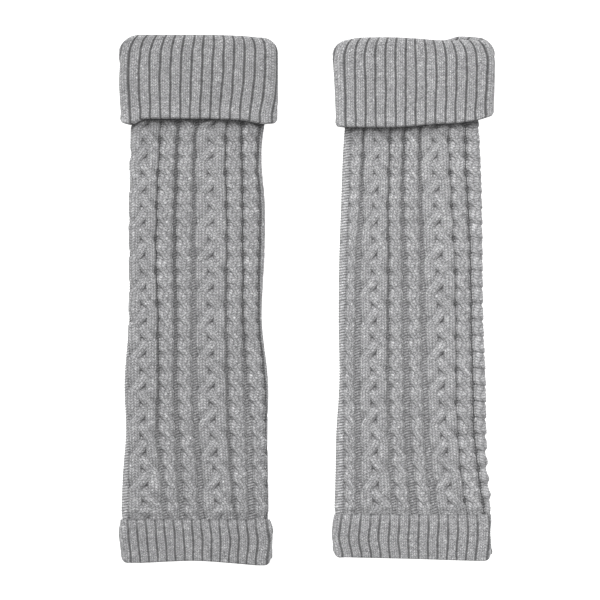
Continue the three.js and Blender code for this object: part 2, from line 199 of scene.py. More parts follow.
LINE_COLUMNS = ["down", "left", *GROOVES, "right"]
WIDTH_COLUMNS = ["down", *GROOVES]
RIB_COLUMNS = ["up", "left", "right", "first", "pitch"]
EDGE_COLUMNS = ["across", "fold", "fold_back", "lip", "hem"]
print("height of a stitch in mm:", round(COURSE, 2))

# %% The left leg
LEFT_LEG = {
    "name": "left",
    "middle": -87.4,
    "inset": (0.6, 0.6),
    "tone_and_painted_light": 1.0,
    "opened": (0.85, 0, 0, 0, 0.1, 0.1, 0.2),
    "overlap": (0.6, 0.8, 0.6, 0.6, 0.85, 0.75, 1.0),
    "body_bottom": -175.0,
    "hem_bottom": -211.8,
    "panels": ["braid", "rope", "rope", "braid", "rope", "rope"],
    "back_panels": ["braid", "rope", "rope", "braid", "rope", "rope"],
    "lines": table(
        LINE_COLUMNS,
        [0, -51.4, -51.0, -29.2, -14.8, -0.2, 23.6, 35.2, 49.8, 54.0],
        [30, -52.8, -52.2, -30.8, -16.6, -2.2, 22.0, 35.6, 47.4, 51.2],
        [70, -54.0, -53.2, -32.6, -17.6, -2.4, 23.2, 36.0, 49.6, 54.0],
        [110, -54.0, -53.0, -33.2, -18.2, -2.8, 23.2, 36.4, 49.2, 53.6],
        [160, -54.2, -53.0, -31.7, -17.2, -2.6, 22.6, 36.6, 48.4, 51.4],
        [210, -57.7, -55.2, -31.2, -17.5, -2.0, 23.8, 38.8, 53.2, 56.4],
        [250, -56.6, -54.4, -32.0, -15.9, -0.6, 24.9, 41.2, 54.0, 56.0],
        [285, -59.2, -54.6, -28.4, -14.0, 2.0, 27.2, 42.2, 54.4, 56.4],
        [320, -60.4, -54.8, -25.5, -12.2, 3.6, 30.0, 43.6, 54.6, 56.6],
    ),
    "widths": table(
        WIDTH_COLUMNS,
        [0, 0.6, 2.2, 3.0, 3.0, 2.2, 2.4, 2.0],
        [150, 0.6, 2.4, 3.2, 4.2, 3.0, 2.4, 2.0],
        [320, 1.0, 4.6, 4.6, 4.8, 3.6, 6.4, 1.0],
    ),
    "cuff_ribs": 14,
    "cuff": table(
        RIB_COLUMNS,
        [210, -61.6, 63.6, -49.0, 7.8],
        [205, -61.6, 63.6, -51.6, 8.12],
        [198, -61.6, 63.6, -53.9, 8.34],
        [176, -62.0, 63.6, -54.8, 8.34],
        [152, -60.8, 62.8, -53.2, 7.94],
    ),
    "hem_ribs": 15,
    "hem": table(
        RIB_COLUMNS,
        [-175, -60.8, 57.2, -56.0, 7.3],
        [-183, -61.4, 59.1, -55.2, 7.3],
        [-192, -62.0, 59.0, -54.8, 7.36],
        [-207, -60.8, 58.5, -52.8, 7.1],
    ),
    "edges": table(
        EDGE_COLUMNS,
        [0, -2.4, -3, -3.5, 2],
        [0.03, -1.6, -2.4, -4.5, 2],
        [0.06, -0.8, -1.8, -5, 2],
        [0.1, 0, -1, -2.6, 2],
        [0.14, 0, -1, -0.7, 2],
        [0.35, 0, -1, -0.4, 3.2],
        [0.5, 0, -1, -0.4, 3.6],
        [0.65, -0.2, -1, -0.8, 2.6],
        [0.8, -1, -1.6, -1.8, 1.2],
        [0.92, -2.2, -2.6, -4.4, 0],
        [1, -2.6, -3, -3.9, 0],
    ),
}
print("heights measured down the left leg:", len(LEFT_LEG["lines"]["down"]))

# %% The right leg
RIGHT_LEG = {
    "name": "right",
    "middle": 85.4,
    "inset": (0.4, 1.8),
    # The right leg's yarn is painted a tenth paler, as painted light, because it lies in brighter light.
    "tone_and_painted_light": 1.1,
    "opened": (0.85, 0, 0, 0, 0, 0, 0.1),
    "overlap": (0.6, 0.75, 0.95, 0.85, 0.7, 1.05, 1.05),
    "body_bottom": -171.0,
    "hem_bottom": -208.2,
    "panels": ["rope", "braid", "rope", "rope", "braid", "rope"],
    "back_panels": ["rope", "braid", "rope", "rope", "braid", "rope"],
    "lines": table(
        LINE_COLUMNS,
        [0, -54.0, -50.5, -39.3, -19.2, -7.2, 5.2, 27.6, 41.0, 51.8],
        [30, -56.0, -50.8, -40.6, -19.6, -8.1, 4.7, 28.0, 41.3, 53.4],
        [70, -57.4, -51.8, -41.6, -20.6, -9.0, 5.8, 30.2, 43.1, 54.7],
        [110, -58.8, -53.4, -44.0, -20.4, -7.7, 6.6, 32.4, 45.1, 54.9],
        [160, -59.4, -54.8, -44.4, -20.6, -7.1, 7.8, 33.4, 45.8, 55.2],
        [210, -58.8, -55.9, -45.2, -20.6, -5.5, 8.9, 33.7, 47.0, 57.0],
        [250, -61.2, -55.9, -44.2, -19.7, -4.9, 10.5, 34.8, 48.1, 57.4],
        [285, -61.9, -55.9, -44.2, -18.0, -2.6, 13.2, 37.8, 51.6, 59.0],
        [316, -62.9, -55.9, -44.2, -15.6, 0.8, 17.2, 42.4, 56.2, 61.2],
    ),
    "widths": table(
        WIDTH_COLUMNS,
        [0, 0.8, 2.4, 2.8, 2.8, 3.0, 2.2, 2.2],
        [150, 0.8, 5.2, 3.2, 4.4, 4.2, 2.2, 2.6],
        [316, 0.8, 4.8, 4.6, 6.6, 5.6, 2.2, 2.4],
    ),
    "cuff_ribs": 15,
    "cuff": table(
        RIB_COLUMNS,
        [210, -64.0, 64.0, -51.2, 7.46],
        [205, -64.0, 64.0, -53.7, 7.84],
        [198, -63.9, 64.0, -55.3, 8.1],
        [176, -62.8, 63.6, -54.8, 8.06],
        [152, -62.0, 63.0, -54.4, 7.94],
    ),
    "hem_ribs": 15,
    "hem": table(
        RIB_COLUMNS,
        [-171, -63.2, 61.4, -57.3, 7.69],
        [-183, -64.0, 60.6, -58.8, 7.85],
        [-192, -64.0, 60.4, -59.7, 7.89],
        [-205, -63.6, 61.4, -56.8, 7.57],
    ),
    "edges": table(
        EDGE_COLUMNS,
        [0, -4.4, -4.4, -6.6, 2.4],
        [0.06, -4, -4, -7.2, 2.8],
        [0.13, -2.4, -3, -7.2, 2.6],
        [0.35, -2, -3, -7.2, 2],
        [0.5, -2.8, -3.6, -6.1, 1.6],
        [0.65, -4.2, -3.8, -4.5, 1],
        [0.72, -4.6, -3.6, -4.1, 0.7],
        [0.8, -4.6, -1, -3.6, 0.4],
        [0.92, -4, -1.6, -1.1, 0],
        [1, -4, -3, 2, 0],
    ),
}
print("heights measured down the right leg:", len(RIGHT_LEG["lines"]["down"]))

# %% [markdown]
# ## Reading the tables, and a flattened tube
# A smooth curve runs through each column of a table. Each tube is flat above and below and round
# at its two side folds. A place on it is given by how far around it lies, in millimetres along
# the front from the middle line, over a fold and back along the underside.
#
# Heights up the leg are always given as a column of rows, so that one sum moves a whole sheet.


# %% Small helpers
WAVE_LENGTHS = (67.0, 41.0, 23.0)
WAVE_SHIFT = 2.4


def smooth(share):
    held = np.clip(share, 0, 1)
    return held * held * (3 - 2 * held)


def ramp(value, start, length):
    """A soft rise from 0 to 1 that begins at start."""
    return smooth((value - start) / length)


def mix(low, high, share):
    return low + (high - low) * share


def column_of(first, last, count):
    return np.linspace(first, last, count)[:, None]


def at_height(up):
    """A single height, as a column with one row."""
    return np.array([[up]])


def wander(up, seed, size):
    """A slow unevenness in millimetres, as knitting laid out by hand has."""
    turns = [
        np.sin(2 * np.pi * up / length + seed * (WAVE_SHIFT + number))
        for number, length in enumerate(WAVE_LENGTHS)
    ]
    return size * sum(turns) / len(WAVE_LENGTHS)


# %% Read a table
def read(rows, key, at, column):
    """The smooth curve through one column, at places along the key column."""
    order = np.argsort(rows[key])
    keys, values = rows[key][order], rows[column][order]
    last = len(keys) - 1
    place = np.arange(last + 1)
    before, after = np.maximum(place - 1, 0), np.minimum(place + 1, last)
    slopes = (values[after] - values[before]) / (keys[after] - keys[before])
    held = np.clip(at, keys[0], keys[-1])
    index = np.clip(np.searchsorted(keys, held, side="left") - 1, 0, last - 1)
    span = keys[index + 1] - keys[index]
    share = (held - keys[index]) / span
    bend = share * (1 - share) * span
    turn = (1 - share) * slopes[index] - share * slopes[index + 1]
    return mix(values[index], values[index + 1], smooth(share)) + bend * turn


def ribs_at(rows, up):
    """The two sides, the first rib and the pitch of the ribs at a height."""
    return {name: read(rows, "up", up, name) for name in RIB_COLUMNS[1:]}


def edge_up(leg, section, x, column):
    """How far one of the leg's curved edges lies above its straight line."""
    across = (x - section["left"]) / (section["right"] - section["left"])
    return read(leg["edges"], "across", across, column)


# %% A place on a flattened tube
def tube(left, right, low, high, reach):
    """A tube's section; reach is how far its side folds stand out past the flat."""
    return {"left": left, "right": right, "low": low, "high": high, "reach": reach}


def tube_parts(section):
    middle = (section["left"] + section["right"]) / 2
    flat = (section["right"] - section["left"]) / 2 - section["reach"]
    half = (section["high"] - section["low"]) / 2
    return middle, flat, half, (section["reach"] + half) / 2


def girth(section):
    _, flat, _, bend = tube_parts(section)
    return 4 * flat + 2 * np.pi * bend


def on_tube(section, around, rise):
    """The x and z of a place, and how far it has turned towards the underside, from 0 to 1."""
    middle, flat, half, bend = tube_parts(section)
    whole = girth(section)
    offset = (around - middle + whole / 2) % whole - whole / 2
    side = np.where(offset < 0, -1.0, 1.0)
    past = np.abs(offset) - flat
    angle = np.clip(past / bend, 0, np.pi)
    under = np.maximum(0, past - np.pi * bend)
    x = middle + np.where(past < 0, offset, side * (flat + section["reach"] * np.sin(angle) - under))
    z = section["low"] + half + half * np.cos(angle)
    out_x, out_z = side * np.sin(angle) / section["reach"], np.cos(angle) / half
    size = np.hypot(out_x, out_z)
    return x + rise * out_x / size, z + rise * out_z / size, angle / np.pi


def around_at(section, x):
    """How far around a place on the front lies."""
    middle, flat, _, bend = tube_parts(section)
    offset = x - middle
    past = np.abs(offset) - flat
    angle = np.arcsin(np.clip(past / section["reach"], 0, 1))
    return np.where(past <= 0, x, middle + np.sign(offset) * (flat + bend * angle))


def same_share(section, around, other):
    """The place that lies at the same share of the way round another tube."""
    share = (around - around_at(section, section["left"])) / girth(section)
    x, z, _ = on_tube(other, around_at(other, other["left"]) + share * girth(other), 0.0)
    return x, z


# %% [markdown]
# ## A sheet of knitting
# Every piece starts as a grid primitive, with a few faces to each stitch. Its points are then
# moved onto the form. Where a sheet closes on itself, its first and last points fall together
# and are merged, and the ends of a roll are filled. A smooth tube with a bump pattern would be
# quicker, but its outline would show no stitches.
#
# Four things ride on the mesh for the finish: a map in stitches, a map for baking in which
# nothing overlaps, a value that is 1 on purl stitches, and the share of shade painted on a point,
# 1 deep in a groove.

# %% The two maps of a sheet
STITCH_MAP = "Stitch"
BAKE_MAP = "OFBake"
BAKE_MARGIN = 0.003
WHOLE_SQUARE = (0.0, 1.0)


def bake_places(rows, columns, strip):
    """The whole sheet in one upright strip of the square."""
    low, high = strip
    across = np.linspace(low + BAKE_MARGIN, high - BAKE_MARGIN, columns)[None, :]
    down = np.linspace(1 - BAKE_MARGIN, BAKE_MARGIN, rows)[:, None]
    return np.stack(np.broadcast_arrays(across, down), axis=-1)


def add_maps(mesh, maps):
    """Adds the maps, a place for each point, and takes away the primitive's own."""
    corners = np.empty(len(mesh.loops), np.int32)
    mesh.loops.foreach_get("vertex_index", corners)
    for map_name, values in maps.items():
        layer = mesh.uv_layers.new(name=map_name)
        layer.data.foreach_set("uv", values.reshape(-1, 2)[corners].astype(np.float32).ravel())
    for extra in [layer.name for layer in mesh.uv_layers if layer.name not in maps]:
        mesh.uv_layers.remove(mesh.uv_layers[extra])


# %% Make a sheet
YARN_STEP = 64


def knit_sheet(name, x, y, z, wale, course, purl, painted_shade, strip=WHOLE_SQUARE):
    """A grid with its points at x, y and z, in millimetres, as rows by columns.

    Wale and course count the stitches across and along. Each sheet starts at its own number of
    wales, so that no two sheets show the same streaks in their yarn.
    """
    places = np.stack(np.broadcast_arrays(x, y, z), axis=-1)
    rows, columns = places.shape[:2]
    yarn = YARN_STEP * len(bpy.data.meshes)
    stitches = np.stack(np.broadcast_arrays(wale + yarn + 0 * x, course + 0 * x), axis=-1)
    bpy.ops.mesh.primitive_grid_add(x_subdivisions=columns - 1, y_subdivisions=rows - 1, size=1)
    piece = bpy.context.object
    piece.name = name
    mesh = piece.data
    mesh.vertices.foreach_set("co", (places * MM).astype(np.float32).ravel())
    add_maps(mesh, {STITCH_MAP: stitches, BAKE_MAP: bake_places(rows, columns, strip)})
    # Each point carries whether it is purl, and how much shade the finish paints on it.
    for value_name, values in (("purl", purl), ("painted_shade", painted_shade)):
        layer = mesh.attributes.new(value_name, "FLOAT", "POINT")
        layer.data.foreach_set("value", np.broadcast_to(values, (rows, columns)).astype(np.float32).ravel())
    mesh.update()
    deselect_all()
    return piece


def close_round(sheet):
    """Adds a sheet's first column again at its end, so that it closes into a roll."""
    return np.concatenate([sheet, sheet[:, :1]], axis=1)


def stack_rows(*zones):
    """Zones of rows as one sheet: each zone is a list with its x, its y and its z."""
    return [np.concatenate(parts) for parts in zip(*zones)]


# %% Join sheets into a piece
MERGE_DISTANCE = 0.00001


def join_and_close(name, parts):
    """Joins sheets into one piece, merges where they close, and fills their open ends."""
    deselect_all()
    for part in parts:
        part.select_set(True)
    bpy.context.view_layer.objects.active = parts[0]
    if len(parts) > 1:
        bpy.ops.object.join()
    piece = bpy.context.object
    piece.name = name
    piece.data.name = name
    bpy.ops.object.mode_set(mode="EDIT")
    bpy.ops.mesh.select_all(action="SELECT")
    bpy.ops.mesh.remove_doubles(threshold=MERGE_DISTANCE)
    bpy.ops.mesh.select_all(action="DESELECT")
    bpy.ops.mesh.select_non_manifold()
    bpy.ops.mesh.fill_holes(sides=0)
    bpy.ops.mesh.select_all(action="SELECT")
    bpy.ops.mesh.normals_make_consistent(inside=False)
    bpy.ops.object.mode_set(mode="OBJECT")
    bpy.ops.object.shade_smooth()
    deselect_all()
    print(name, "faces:", len(piece.data.polygons))
    return piece


# %% [markdown]
# ## Stitches
# A knit stitch shows as two slanted legs, a V. A purl stitch shows as a bump that lies across.
# Both are raised a few tenths of a millimetre in the mesh, and the finish adds the slant of the
# yarn. The counts are the real ones: six courses to each crossing of the cables.

# %% Relief of one stitch
KNIT_RELIEF, PURL_RELIEF = 0.32, 0.65
LEG_SLANT = 0.5
LEG_BASE = 0.45
BEAD_SHARPNESS, LEG_SHARPNESS = 0.7, 0.6
RUNG_SHARPNESS, RUNG_ENDS = 0.8, 0.5
RUNG_STAGGER = 0.5


def half_wave(turns, sharpness):
    """Round humps, one to each turn; the lower the number, the flatter their tops."""
    return np.abs(np.sin(np.pi * turns)) ** sharpness


def knit_relief(wale, course):
    spread = np.abs(wale - np.floor(wale) - 0.5) * 2
    bead = half_wave(course - LEG_SLANT * spread, BEAD_SHARPNESS)
    return half_wave(spread, LEG_SHARPNESS) * mix(LEG_BASE, 1.0, bead)


def purl_relief(wale, course):
    stagger = RUNG_STAGGER * (np.floor(wale) % 2)
    return half_wave(course + stagger, RUNG_SHARPNESS) * half_wave(wale, RUNG_ENDS)


print("stitches down a leg:", round((FOLD_TOP - LEFT_LEG["hem_bottom"]) / COURSE))

# %% [markdown]
# ## The form of the cabled body
# Under the cuff the body is raised on the cuff's back layer. Below, it comes down to the floor.

# %% Sections down the body
BACK_RELIEF = 0.8
HEM_INSET = 0.3
INSET_EASE = (270, 40)


def raised(up):
    """How far the body lies on the cuff's back layer, from 0 to 1."""
    return ramp(up, RAMP_TOP - RAMP_LENGTH, RAMP_LENGTH)


def body_slit(leg, up):
    """The narrow space inside the tube."""
    share, down = raised(up), LIP_LINE - up
    left = read(leg["lines"], "down", down, "left") + BODY_BACK_WALL
    right = read(leg["lines"], "down", down, "right") - BODY_BACK_WALL
    low = (CUFF_WALL + SEAM_GAP) * share + mix(BODY_BACK_WALL, TUCKED_BACK_WALL, share)
    return tube(left, right, low, low + SLIT, SLIT_REACH)


def body_section(leg, up):
    """The ground that the cables stand on."""
    share, down = raised(up), LIP_LINE - up
    left_inset, right_inset = leg["inset"]
    right_inset = mix(right_inset, HEM_INSET, ramp(down, *INSET_EASE))
    left = read(leg["lines"], "down", down, "left") + left_inset
    right = read(leg["lines"], "down", down, "right") - right_inset
    low = (CUFF_WALL + SEAM_GAP) * share + BACK_RELIEF
    high = body_slit(leg, up)["high"] + mix(BODY_FRONT_WALL, TUCKED_FRONT_WALL, share)
    return tube(left, right, low, high, BODY_REACH)


for leg in (LEFT_LEG, RIGHT_LEG):
    print(leg["name"], "body's girth in mm:", round(girth(body_section(leg, at_height(0.0))).item(), 1))

# %% The grooves and panels right round the body
BACK_WIDTHS = {"braid": 23.0, "rope": 11.5}
BACK_GROOVE = 2.6
GROOVE_WANDER = 0.35
FOLD_LADDER = 1.0


def groove_spans(leg, up):
    """The two edges of every groove round the tube, from the left fold round to it again."""
    section, down = body_section(leg, up), LIP_LINE - up
    spans = []
    for number, name in enumerate(GROOVES):
        line = read(leg["lines"], "down", down, name) + wander(up, number, GROOVE_WANDER)
        middle = around_at(section, line)
        half = read(leg["widths"], "down", down, name) / 2
        spans.append([middle - half, middle + half])
    spans[0][0] = around_at(section, section["left"]) - FOLD_LADDER
    widths = [BACK_WIDTHS[kind] for kind in leg["back_panels"]]
    start, finish = spans[-1][1], spans[0][0] + girth(section)
    scale = (finish - start) / (sum(widths) + BACK_GROOVE * (len(widths) - 1))
    reached = start
    for width in widths[:-1]:
        reached = reached + width * scale
        spans.append([reached, reached + BACK_GROOVE * scale])
        reached = reached + BACK_GROOVE * scale
    spans.append([finish, spans[0][1] + girth(section)])
    return spans


# %% [markdown]
# ## Strands of the cables
# A rope has two strands: each in turn crosses over to the right, then passes back under. A braid
# has three: each goes over to the left, under to the middle, over to the right and under again.
# A strand is a roll of knitting of its own that really passes over and under its neighbours, so
# the shadows between them are real. One raised surface could carry the pattern too, but it can't
# overhang, and the creases would look drawn.


# %% The path of a strand
CROSS_SPAN = 0.9
UNDER_SPREAD, OVER_SPREAD = 0.35, 0.08
DIP_REACH = 0.7
CABLES = {
    "rope": {
        "period": 2, "starts": (0, 1), "wales": 2, "left": 0.0, "width": 0.56, "step": 0.44,
        "unders": (1,), "dip": 0.55, "overs": (0,), "swell": 0.0,
        "moves": ((0, 1, -OVER_SPREAD, OVER_SPREAD), (1, -1, UNDER_SPREAD, -UNDER_SPREAD)),
    },
    "braid": {
        "period": 6, "starts": (0, 2, 4), "wales": 3, "left": 0.28, "width": 0.44, "step": 0.295,
        "unders": (2, 5), "dip": 0.7, "overs": (0, 3), "swell": 0.15,
        "moves": (
            (0, -1, OVER_SPREAD, 0), (2, 1, -UNDER_SPREAD, 0),
            (3, 1, 0, OVER_SPREAD), (5, -1, 0, -UNDER_SPREAD),
        ),
    },
}


def dip(turns):
    """1 at a crossing, and down to 0 a little before and after it."""
    return np.where(np.abs(turns) >= DIP_REACH, 0.0, np.cos(np.pi * turns / (2 * DIP_REACH)) ** 2)


def strand_edges(cable, turns):
    """Both edges of a strand across its panel, from 0 to 1, and its height.

    Each move is a time, a way, and how early the left and the right edge make it. The strand
    underneath keeps to the panel's sides for longer, so the panel stays filled at a crossing.
    """
    period = cable["period"]
    turn = turns - period * np.floor(turns / period)
    edges = [cable["left"], cable["left"] + cable["width"]]
    for when, way, *early in cable["moves"]:
        for side in (0, 1):
            for lap in (-1, 0, 1):
                done = smooth((turn - when - period * lap + early[side]) / CROSS_SPAN + 0.5)
                edges[side] = edges[side] + cable["step"] * way * (done - (lap < 0))
    laps = (-period, 0, period)
    under = sum(dip(turn - when - lap) for when in cable["unders"] for lap in laps)
    over = sum(dip(turn - when - lap) for when in cable["overs"] for lap in laps)
    return edges[0], edges[1], 1 - cable["dip"] * under + cable["swell"] * over


# %% [markdown]
# A cable stands highest on the front. It lies flatter under the cuff, where it meets the hem, and
# on the underside, and it keeps one even height where it turns over a side fold, because the
# fold would otherwise show as a row of knobs.

# %% How high a strand stands
TUCK_ABOVE_LIP, TUCK_LENGTH = 6, 10
HEM_HEIGHT, HEM_EASE = 0.2, 7
TOP_FULLNESS, LOW_FULLNESS, FULLNESS_LENGTH = 0.95, 1.35, 250
FRONT_SHARE, BACK_SHARE = 0.2, 0.58
FOLD_HEIGHT, FOLD_EVENNESS = 0.85, 0.92
EVEN_FROM, EVEN_UNTIL = (0.1, 0.2), (0.65, 0.2)


def shown_rise(leg, up):
    """How much of its height a cable keeps under the cuff and at the hem."""
    out_of_cuff = smooth((LIP_LINE + TUCK_ABOVE_LIP - up) / TUCK_LENGTH)
    return out_of_cuff * mix(HEM_HEIGHT, 1.0, ramp(up, leg["body_bottom"], HEM_EASE))


def within(turned, start, finish):
    """1 between two places on the way to the underside, each a beginning and a length."""
    return ramp(turned, *start) * (1 - ramp(turned, *finish))


def strand_top(leg, up, height, pressed):
    """A strand's height in millimetres; the cables are fuller towards the hem."""
    fullness = mix(TOP_FULLNESS, LOW_FULLNESS, smooth((LIP_LINE - up) / FULLNESS_LENGTH))
    return mix(CABLE_RISE * fullness, BACK_RELIEF, pressed) * height * shown_rise(leg, up)


# %% [markdown]
# Light hardly reaches the bottom of a groove or the corner under the cuff, where the fibres also
# hide each other. The soft lamps alone leave these places too pale, so shade is painted there:
# each point is told how much, and the yarn's finish darkens it by that much.

# %% How much shade is painted on a point
INNER_SHADING, OUTER_SHADING = 0.76, 0.45
CROSSING_SHADE, LOWEST_STRAND = 0.73, 0.375
FOLD_LIGHT = 0.8
LIP_SHADE, LIP_FADE, LIP_FADE_POWER = 0.9, 13.0, 1.5


def under_lip(leg, up, x):
    """How much shadow is painted on the yarn under the cuff's lip, less and less down the leg."""
    cuff = ribs_at(leg["cuff"], at_height(LIP_LINE))
    lip = LIP_LINE + edge_up(leg, cuff, x, "lip")
    return LIP_SHADE * np.clip(1 - (lip - up) / LIP_FADE, 0, 1) ** LIP_FADE_POWER


def strand_shade(arc, inner, height, at_fold):
    """Painted shade at a strand's two edges and under a crossing, and little of it where it turns over a
    fold.
    """
    light = np.sin(arc) ** mix(OUTER_SHADING, INNER_SHADING, inner)
    light = light * mix(CROSSING_SHADE, 1.0, ramp(height, LOWEST_STRAND, 1 - LOWEST_STRAND))
    return (1 - light) * (1 - FOLD_LIGHT * at_fold)


# %% Knit one strand
STRAND_SINK = 0.5
INNER_ROUNDNESS, OUTER_ROUNDNESS, FOLD_ROUNDNESS = 0.95, 0.55, 0.25
SIDE_SHARE = 0.2
AT_FOLD_FROM, AT_FOLD_UNTIL = (0.12, 0.16), (0.6, 0.2)
PRESSED_RELIEF, RELIEF_MIDDLE = 0.4, 0.6
HAIR = 0.001


def knit_strand(name, leg, up, span, cable, start, columns_per_wale, strip):
    """A roll that runs down the leg, with its path and height from its cable."""
    section = body_section(leg, up)
    turns = (LIP_LINE - up - FIRST_CROSSING) / CROSSING_PITCH
    left_edge, right_edge, height = strand_edges(cable, turns + start)
    left, right = span
    centre = left + (right - left) * (left_edge + right_edge) / 2
    half = (right - left) * (right_edge - left_edge) / 2
    _, _, turned = on_tube(section, centre, 0.0)
    pressed = ramp(turned, FRONT_SHARE, BACK_SHARE - FRONT_SHARE)
    height = mix(height, FOLD_HEIGHT, FOLD_EVENNESS * within(turned, EVEN_FROM, EVEN_UNTIL))
    top = strand_top(leg, up, height, pressed)

    arc = np.linspace(0, np.pi, cable["wales"] * columns_per_wale + 1)[None, :]
    wale, course = arc / np.pi * cable["wales"], (LIP_LINE - up) / COURSE
    relief = KNIT_RELIEF * mix(1.0, PRESSED_RELIEF, pressed) * (knit_relief(wale, course) - RELIEF_MIDDLE)
    lean_x, lean_z = -np.cos(arc) * top, np.sin(arc) * half
    size = np.hypot(lean_x, lean_z) + HAIR
    around = centre - half * np.cos(arc) + relief * lean_x / size
    inner = smooth(np.where(arc < np.pi / 2, left_edge, 1 - right_edge) / SIDE_SHARE)
    _, _, bent = on_tube(section, around, 0.0)
    at_fold = within(bent, AT_FOLD_FROM, AT_FOLD_UNTIL)
    roundness = mix(mix(OUTER_ROUNDNESS, INNER_ROUNDNESS, inner), FOLD_ROUNDNESS, at_fold)
    rise = (top + STRAND_SINK) * np.sin(arc) ** roundness - STRAND_SINK + relief * lean_z / size
    x, z, _ = on_tube(section, around, rise)
    z = np.maximum(z, section["low"] - BACK_RELIEF)
    # The strand's painted shade: at its edges and under crossings, and a painted shadow under the cuff's
    # lip.
    painted_shade = mix(strand_shade(arc, inner, height, at_fold), 1.0, under_lip(leg, up, x))
    x, z, wale, painted_shade = [close_round(part + 0 * x) for part in (x, z, wale, painted_shade)]
    return knit_sheet(name, leg["middle"] + x, up, z, wale, course, 0.0, painted_shade, strip)


# %% [markdown]
# Between the cables lie ladders of purl stitches. A narrow ladder is pulled shut and shows as a
# dark line of painted shade. A wide one opens, its rungs show, and less shade is painted on it.
# Under both lies a plain tube, which closes the body and has the slit inside.

# %% Knit one purl ladder
LADDER_COLUMNS, LADDER_WALES = 6, 2
LADDER_TUCK = 0.9
NARROW_LADDER, OPENING, OPEN_LIGHT = 2.2, 2.4, 0.42
LADDER_RISE, LADDER_DISH, OPEN_RISE = 0.15, 0.5, 0.3


def knit_ladder(name, leg, up, span, opened, strip):
    section = body_section(leg, up)
    share = np.linspace(0, 1, LADDER_COLUMNS + 1)[None, :]
    around = mix(span[0] - LADDER_TUCK, span[1] + LADDER_TUCK, share)
    wale, course = share * LADDER_WALES, (LIP_LINE - up) / COURSE
    dished = (2 * share - 1) ** 2
    open_share = (opened + ramp(span[1] - span[0], NARROW_LADDER, OPENING)) * (1 - dished)
    bed = LADDER_RISE + LADDER_DISH * dished + OPEN_RISE * open_share
    rise = (bed + PURL_RELIEF * purl_relief(wale, course)) * shown_rise(leg, up)
    rise[:, [0, -1]] = -STRAND_SINK
    x, z, _ = on_tube(section, around, rise)
    z = np.maximum(z, section["low"] - BACK_RELIEF)
    # Painted shade fills the ladder, less where it opens and more under the cuff's lip.
    painted_shade = mix(1 - OPEN_LIGHT * open_share, 1.0, under_lip(leg, up, x))
    x, z, wale, painted_shade = [close_round(part + 0 * x) for part in (x, z, wale, painted_shade)]
    return knit_sheet(name, leg["middle"] + x, up, z, wale, course, 1.0, painted_shade, strip)


# %% Knit the ground under the cables
GROUND_DROP = 0.25
GROUND_SHADE = 0.7
GROUND_COLUMNS, COLUMNS_PER_GROUND_WALE = 72, 2
GROUND_ROWS, INSIDE_ROWS = 84, 20


def knit_ground(name, leg, strip):
    """The plain tube: down the outside, up the slit, and back to its first row."""
    outside = column_of(BODY_TOP, leg["body_bottom"], GROUND_ROWS)
    inside = column_of(leg["body_bottom"], BODY_TOP, INSIDE_ROWS)
    share = np.linspace(0, 1, GROUND_COLUMNS + 1)[None, :]
    skins = []
    for up, section, rise in (
        (outside, body_section(leg, outside), -GROUND_DROP),
        (inside, body_slit(leg, inside), 0.0),
    ):
        around = around_at(section, section["left"]) + girth(section) * share
        x, z, _ = on_tube(section, around, rise)
        skins.append([x, z, up + 0 * x])
    skins.append([part[:1] for part in skins[0]])
    x, z, up = stack_rows(*skins)
    wale, course = share * GROUND_COLUMNS / COLUMNS_PER_GROUND_WALE, (LIP_LINE - up) / COURSE
    # The ground gets an even painted shade, as it lies in the shade under the cables.
    return knit_sheet(name, leg["middle"] + x, up, z, wale, course, 1.0, GROUND_SHADE, strip)


# %% Knit a body
ROWS_PER_COURSE, BACK_ROWS_PER_COURSE = 3, 1.5
FRONT_COLUMNS, BACK_COLUMNS = 4, 2
BACK_OVERLAP = 0.6
GROUND_STRIP = 0.4


def body_rows(leg, rows_per_course):
    count = round((BODY_TOP - leg["body_bottom"]) / COURSE * rows_per_course)
    return column_of(BODY_TOP, leg["body_bottom"], count + 1)


def knit_cables(leg, up, first, last, columns_per_wale):
    """The strands of some panels, each in its own strip of the baking map."""
    kinds = leg["panels"] + leg["back_panels"]
    overlap = [*leg["overlap"], *[BACK_OVERLAP] * len(leg["back_panels"])]
    spans = groove_spans(leg, up)
    total = sum(len(CABLES[kind]["starts"]) for kind in kinds[first:last])
    strands = []
    for number in range(first, last):
        cable = CABLES[kinds[number]]
        span = spans[number][1] - overlap[number], spans[number + 1][0] + overlap[number + 1]
        for start in cable["starts"]:
            strip = len(strands) / total, (len(strands) + 1) / total
            strand = knit_strand(kinds[number], leg, up, span, cable, start, columns_per_wale, strip)
            strands.append(strand)
    return strands


def knit_ladders(leg, up):
    spans = groove_spans(leg, up)
    width = (1 - GROUND_STRIP) / len(GROOVES)
    ladders = []
    for number, opened in enumerate(leg["opened"]):
        strip = GROUND_STRIP + number * width, GROUND_STRIP + (number + 1) * width
        ladders.append(knit_ladder("ladder", leg, up, spans[number], opened, strip))
    return ladders


def knit_body(leg):
    """The body tube, the cables on its front and over its folds, and those on its underside."""
    fine, coarse = body_rows(leg, ROWS_PER_COURSE), body_rows(leg, BACK_ROWS_PER_COURSE)
    shown, total = len(leg["panels"]) + 1, len(leg["panels"]) + len(leg["back_panels"])
    front = knit_cables(leg, fine, 0, shown, FRONT_COLUMNS)
    back = knit_cables(leg, coarse, shown, total, BACK_COLUMNS)
    sheets = [knit_ground("ground", leg, (0.0, GROUND_STRIP))]
    sheets += knit_ladders(leg, fine)
    return (
        join_and_close(f"{leg['name']}_body_knit", sheets),
        join_and_close(f"{leg['name']}_cables", front),
        join_and_close(f"{leg['name']}_back_cables", back),
    )
